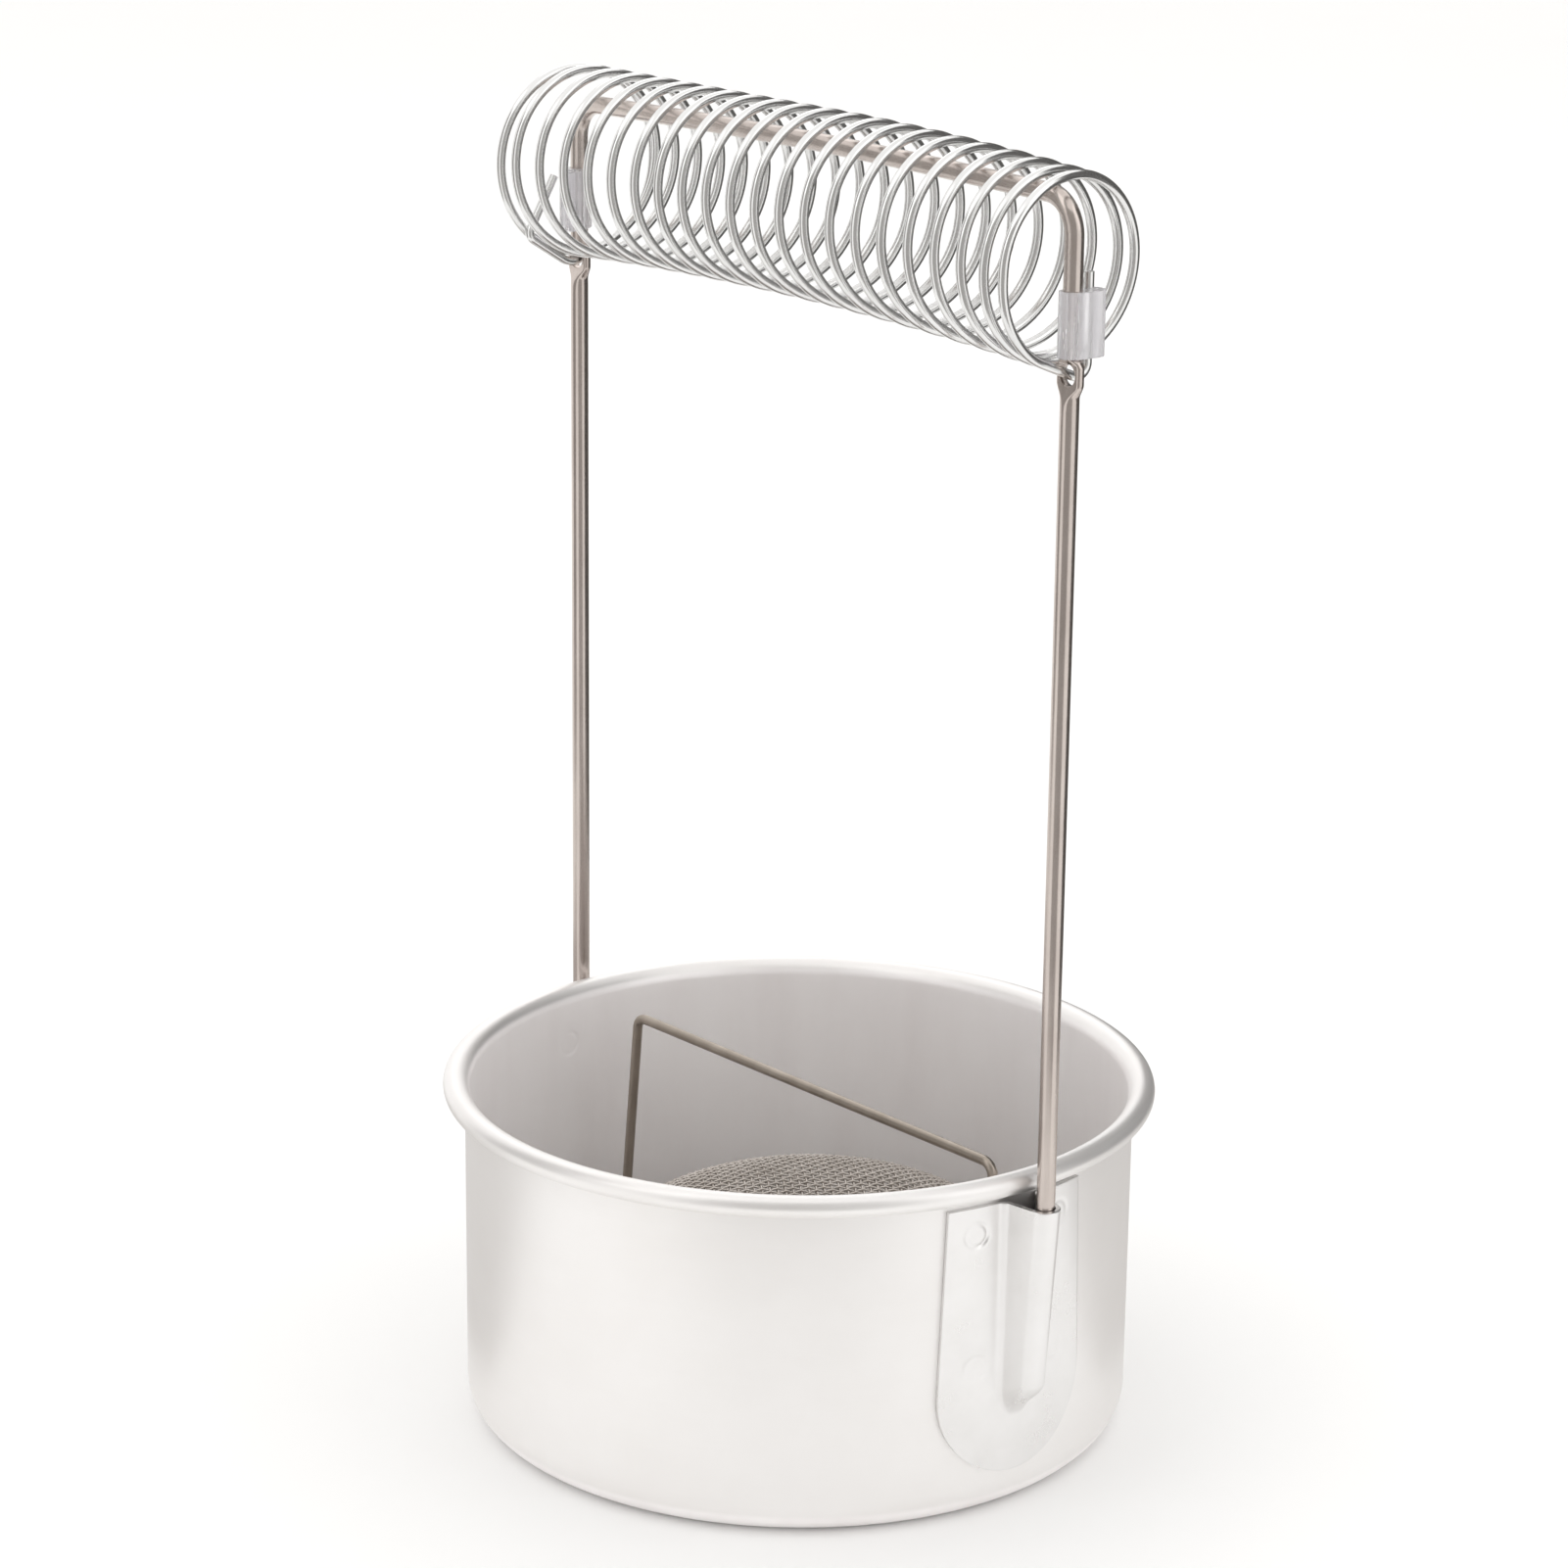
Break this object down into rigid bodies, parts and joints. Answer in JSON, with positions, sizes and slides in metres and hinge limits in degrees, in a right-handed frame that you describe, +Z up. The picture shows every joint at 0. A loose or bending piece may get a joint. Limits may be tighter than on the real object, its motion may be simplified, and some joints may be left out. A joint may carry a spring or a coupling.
{
  "type": "flour sifter",
  "caption": "Hand-held flour sifter: an open-bottomed spun cup with a lift-out domed wire sieve, under a tall wire handle with a coil-spring grip.",
  "frame": {"origin": "centre of the cup's base, on the surface it stands on", "axes": "+Z up along the cup's axis; the handle and the bail lie in the X-Z plane"},
  "size_m": [0.1532, 0.14, 0.2589],
  "materials": {
    "cup_aluminium": "satin, spun and lightly brushed",
    "bracket_aluminium": "satin pressed sheet",
    "handle_steel": "drawn stainless wire, semi-bright, slightly warm",
    "spring_wire": "bright drawn spring wire",
    "clear_plastic": "translucent extruded plastic",
    "mesh_steel": "plain-woven stainless wire",
    "rim_steel": "rolled stainless strip and wire",
    "bail_steel": "drawn wire, dull bronze tone"
  },
  "bodies": {
    "frame": {"cup_shell": "cup_aluminium", "bracket_right": "bracket_aluminium", "bracket_left": "bracket_aluminium", "handle_frame": "handle_steel", "sleeve_right": "clear_plastic", "sleeve_left": "clear_plastic"},
    "sieve": {"sieve_mesh": "mesh_steel", "sieve_rim_wire": "rim_steel", "sieve_rim_band": "rim_steel", "sieve_bail": "bail_steel"},
    "grip": {"grip_spring": "spring_wire"}
  },
  "joints": [
    {"name": "sieve_lift", "type": "slide", "parent": "frame", "child": "sieve", "axis": [0, 0, 1], "range_m": [0, 0.08]},
    {"name": "grip_bounce", "type": "slide", "parent": "frame", "child": "grip", "axis": [0, 0, 1], "range_m": [-0.001, 0.01], "stiffness_N_per_m": 300, "springref_m": 0.0012, "deforming": ["grip_spring"]}
  ]
}
